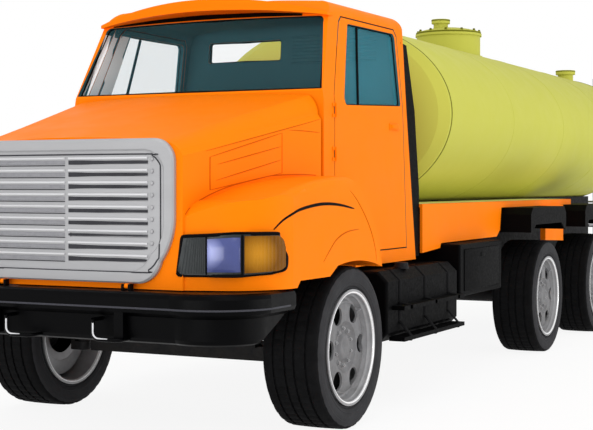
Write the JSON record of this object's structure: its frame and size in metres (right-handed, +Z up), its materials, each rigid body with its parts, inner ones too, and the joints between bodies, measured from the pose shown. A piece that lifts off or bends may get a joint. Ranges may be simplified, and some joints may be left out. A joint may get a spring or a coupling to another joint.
{
  "type": "tanker truck",
  "caption": "Long-nosed cab truck with an oval tank on three axles, opening doors, tilting hood, steered front wheels and a hinged dome lid.",
  "frame": {"origin": "on the ground, under the centre of the truck's box", "axes": "+Z up, -Y towards the truck's front, +X to the truck's own left"},
  "size_m": [2.476, 10.367, 3.114],
  "materials": {
    "cab_paint": "gloss",
    "tank_paint": "satin",
    "frame_black": "satin",
    "bumper_black": "gloss",
    "black_plastic": "matte",
    "grille_metal": "satin",
    "wheel_metal": "satin",
    "tyre_rubber": "matte",
    "clear_glass": "gloss",
    "lamp_glass": "gloss",
    "red_lamp": "gloss",
    "seat_fabric": "matte",
    "trim_plastic": "matte",
    "cast_steel": "matte",
    "steel_parts": "satin"
  },
  "bodies": {
    "chassis": {"frame": "frame_black", "front_bumper": "bumper_black", "front_axle": "cast_steel", "springs": "cast_steel", "rear_axles": "cast_steel", "engine": "cast_steel", "cab_shell": "cab_paint", "cab_extenders": "black_plastic", "windshield": "clear_glass", "rear_window": "clear_glass", "sun_visor": "cab_paint", "dashboard": "trim_plastic", "steering_wheel": "black_plastic", "seats": "seat_fabric", "fuel_tanks": "black_plastic", "side_boxes": "black_plastic", "side_skirts": "cab_paint", "mudguards": "black_plastic", "tank": "tank_paint", "tank_cradle": "tank_paint", "dome": "tank_paint", "rear_bumper": "frame_black", "tail_lamps": "red_lamp", "outlet": "steel_parts", "ladder": "steel_parts"},
    "hood": {"hood": "cab_paint", "grille": "grille_metal", "headlights": "lamp_glass"},
    "door_left": {"door_left": "cab_paint", "door_glass_left": "clear_glass"},
    "door_right": {"door_right": "cab_paint", "door_glass_right": "clear_glass"},
    "lid": {"dome_lid": "tank_paint"},
    "knuckle_left": {"knuckle_left": "cast_steel"},
    "knuckle_right": {"knuckle_right": "cast_steel"},
    "tie_rod": {"tie_rod": "cast_steel"},
    "wheel_front_left": {"rim_front_left": "wheel_metal", "tyre_front_left": "tyre_rubber"},
    "wheel_front_right": {"rim_front_right": "wheel_metal", "tyre_front_right": "tyre_rubber"},
    "wheel_mid_left": {"rim_mid_left": "wheel_metal", "tyre_mid_left": "tyre_rubber"},
    "wheel_mid_right": {"rim_mid_right": "wheel_metal", "tyre_mid_right": "tyre_rubber"},
    "wheel_rear_left": {"rim_rear_left": "wheel_metal", "tyre_rear_left": "tyre_rubber"},
    "wheel_rear_right": {"rim_rear_right": "wheel_metal", "tyre_rear_right": "tyre_rubber"}
  },
  "joints": [
    {"name": "steer_left", "type": "hinge", "parent": "chassis", "child": "knuckle_left", "pos_m": [0.78, -3.7535, 0.5], "axis": [0, 0, 1], "range_deg": [-32, 32]},
    {"name": "steer_right", "type": "hinge", "parent": "chassis", "child": "knuckle_right", "pos_m": [-0.78, -3.7535, 0.5], "axis": [0, 0, 1], "range_deg": [-32, 32]},
    {"name": "tie_rod_swing", "type": "hinge", "parent": "knuckle_left", "child": "tie_rod", "pos_m": [0.78, -3.5635, 0.434], "axis": [0, 0, 1], "range_deg": [-32, 32]},
    {"name": "spin_front_left", "type": "hinge", "parent": "knuckle_left", "child": "wheel_front_left", "pos_m": [1.03, -3.7535, 0.5], "axis": [1, 0, 0], "continuous": true},
    {"name": "spin_front_right", "type": "hinge", "parent": "knuckle_right", "child": "wheel_front_right", "pos_m": [-1.03, -3.7535, 0.5], "axis": [1, 0, 0], "continuous": true},
    {"name": "spin_mid_left", "type": "hinge", "parent": "chassis", "child": "wheel_mid_left", "pos_m": [1.03, 0.5465, 0.5], "axis": [1, 0, 0], "continuous": true},
    {"name": "spin_mid_right", "type": "hinge", "parent": "chassis", "child": "wheel_mid_right", "pos_m": [-1.03, 0.5465, 0.5], "axis": [1, 0, 0], "continuous": true},
    {"name": "spin_rear_left", "type": "hinge", "parent": "chassis", "child": "wheel_rear_left", "pos_m": [1.03, 2.3765, 0.5], "axis": [1, 0, 0], "continuous": true},
    {"name": "spin_rear_right", "type": "hinge", "parent": "chassis", "child": "wheel_rear_right", "pos_m": [-1.03, 2.3765, 0.5], "axis": [1, 0, 0], "continuous": true},
    {"name": "door_left_hinge", "type": "hinge", "parent": "chassis", "child": "door_left", "pos_m": [0.964, -3.449, 1.77], "axis": [0, 0, -1], "range_deg": [0, 65]},
    {"name": "door_right_hinge", "type": "hinge", "parent": "chassis", "child": "door_right", "pos_m": [-0.964, -3.449, 1.77], "axis": [0, 0, 1], "range_deg": [0, 65]},
    {"name": "hood_tilt", "type": "hinge", "parent": "chassis", "child": "hood", "pos_m": [0, -5.0435, 0.936], "axis": [1, 0, 0], "range_deg": [0, 60]},
    {"name": "lid_hinge", "type": "hinge", "parent": "chassis", "child": "lid", "pos_m": [0, 1.6265, 2.983], "axis": [-1, 0, 0], "range_deg": [0, 100]}
  ],
  "couplings": [
    {"joint": "steer_right", "follows": "steer_left", "ratio": 1},
    {"joint": "tie_rod_swing", "follows": "steer_left", "ratio": -1}
  ]
}
